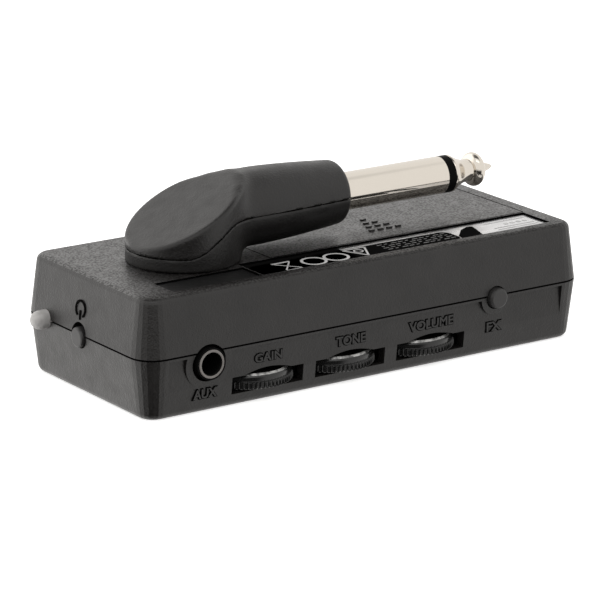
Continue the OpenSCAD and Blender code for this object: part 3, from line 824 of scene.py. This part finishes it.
def build_jack_lips():
    """Lighter rim round the mouth of each jack."""
    section = [(0.0, 1.94), (-0.03, 2.0), (-0.03, 2.26), (0.02, 2.33), (0.2, 2.36), (0.5, 2.37), (0.5, 2.3),
               (0.05, 1.94)]
    steps = 64
    for node, turn in (("aux_jack", 90), ("phones_jack", 180)):
        low, high = span(node)
        centre = (low + high) / 2
        points, faces = [], []
        for x, r in section:
            for k in range(steps):
                a = 2 * math.pi * k / steps
                points.append((x, r * math.cos(a), r * math.sin(a)))
        n = len(section)
        for i in range(n):
            for k in range(steps):
                a, b = i * steps + k, i * steps + (k + 1) % steps
                c, d = (i + 1) % n * steps + (k + 1) % steps, (i + 1) % n * steps + k
                faces.append((a, b, c, d))
        piece = mesh_object(node + "_lip", points, faces)
        piece.data.transform(Matrix.Rotation(math.radians(turn), 4, "Z"))
        mouth = (centre[0], low[1] - 0.08) if node == "aux_jack" else (high[0] - 0.03, centre[1])
        shift(piece, *mouth, centre[2])
        paint(piece, LIP)
        finish_piece(piece, "root", "black_gloss")


build_legends()
build_power_mark()
build_label_ink()
build_label_marks()
build_label_lines()
build_grille()
build_parting_shadow()
build_hatch_shadow()
build_label_shadow()
build_wheels()
build_jack_lips()


# ---------------------------------------------------------------- stage, camera and light


def build_stage():
    """Pale floor, kept out of the reflections so that the world lights the object from all round."""
    bpy.ops.mesh.primitive_plane_add(size=6, location=(0, 0, 0))
    floor = bpy.context.object
    floor.name = "studio_floor"
    s = Shader("studio_floor", (0.93, 0.93, 0.93), 0.9)
    s.link(s.ramp(s.noise(60, 2), 0.92, 0.94), s.bsdf.inputs["Base Color"])
    s.set("Specular IOR Level", 0.0)
    s.set("Emission Color", (1, 1, 1, 1))
    s.set("Emission Strength", 0.62)
    paint(floor, s.material)
    floor.visible_glossy = False
    floor.visible_diffuse = False


def area_light(name, location, size, power):
    """Soft light aimed at the middle of the case."""
    data = bpy.data.lights.new(name, "AREA")
    data.shape = "RECTANGLE"
    data.size, data.size_y = size
    data.energy = power
    lamp = new_object(name, data)
    lamp.location = location
    lamp.rotation_euler = (Vector((0, 0, 0.01)) - Vector(location)).to_track_quat("-Z", "Y").to_euler()


def build_lights():
    """White surroundings: dark low down by the controls, dimmer overhead, brightest at the back left."""
    world = bpy.data.worlds.new("studio")
    bpy.context.scene.world = world
    world.use_nodes = True
    tree = world.node_tree
    background = tree.nodes["Background"]
    background.inputs["Color"].default_value = (1, 0.985, 0.965, 1)
    coords = tree.nodes.new("ShaderNodeTexCoord").outputs["Generated"]
    parts = tree.nodes.new("ShaderNodeSeparateXYZ")
    tree.links.new(coords, parts.inputs[0])
    height = parts.outputs["Z"]

    def vector(operation, source, value=None):
        node = tree.nodes.new("ShaderNodeVectorMath")
        node.operation = operation
        tree.links.new(source, node.inputs[0])
        if value:
            node.inputs[1].default_value = value
        return node.outputs["Value" if operation == "DOT_PRODUCT" else "Vector"]

    def product(first, second):
        node = tree.nodes.new("ShaderNodeMath")
        node.operation = "MULTIPLY"
        tree.links.new(first, node.inputs[0])
        if hasattr(second, "node"):
            tree.links.new(second, node.inputs[1])
        else:
            node.inputs[1].default_value = second
        return node.outputs[0]

    level = vector("NORMALIZE", vector("MULTIPLY", coords, (1, 1, 0)))
    to_controls = vector("DOT_PRODUCT", level, (-0.569, -0.822, 0))
    to_back_left = vector("DOT_PRODUCT", level, (-0.569, 0.822, 0))
    depth = tree.nodes.new("ShaderNodeMath")
    depth.operation = "SUBTRACT"
    depth.inputs[0].default_value = 0.5
    tree.links.new(height, depth.inputs[1])
    below = grey_ramp(tree, depth.outputs[0], ((0.42, 0.0), (0.62, 1.0)))
    ahead = grey_ramp(tree, to_controls, ((0.58, 0.0), (0.84, 1.0)))
    sides = grey_ramp(tree, product(below, ahead), ((0.0, 1.0), (1.0, 0.03)))
    overhead = grey_ramp(tree, height, ((0.80, 1.0), (0.95, 0.12)))
    brighter = grey_ramp(tree, to_back_left, ((0.62, 0.62), (0.92, 1.0)))
    strength = product(product(product(sides, overhead), brighter), 1.6)
    tree.links.new(strength, background.inputs["Strength"])
    area_light("top_softbox", (-0.2, -0.35, 0.9), (0.7, 0.5), 1.0)


def build_camera():
    """Long lens from the control side, a little above the case and round to the lamp end."""
    azimuth, elevation, roll = (math.radians(v) for v in (-34.659, 16.356, 0.213))
    back = Vector((math.sin(azimuth) * math.cos(elevation), -math.cos(azimuth) * math.cos(elevation),
                   math.sin(elevation)))
    right = Vector((math.cos(azimuth), math.sin(azimuth), 0))
    up = back.cross(right)
    across = right * math.cos(roll) + up * math.sin(roll)
    upward = -right * math.sin(roll) + up * math.cos(roll)
    aim = Vector((-1.074, 0.44, 9.03)) * MM
    distance = 0.61829
    data = bpy.data.cameras.new("camera")
    data.lens = 224.16
    data.sensor_width = 36
    data.clip_start = 0.01
    data.clip_end = 20
    camera = new_object("camera", data)
    axes = Matrix((across, upward, back)).transposed().to_4x4()
    camera.matrix_world = Matrix.Translation(aim + back * distance) @ axes
    bpy.context.scene.camera = camera


build_stage()
build_lights()
build_camera()
bpy.context.scene.view_settings.view_transform = "Standard"
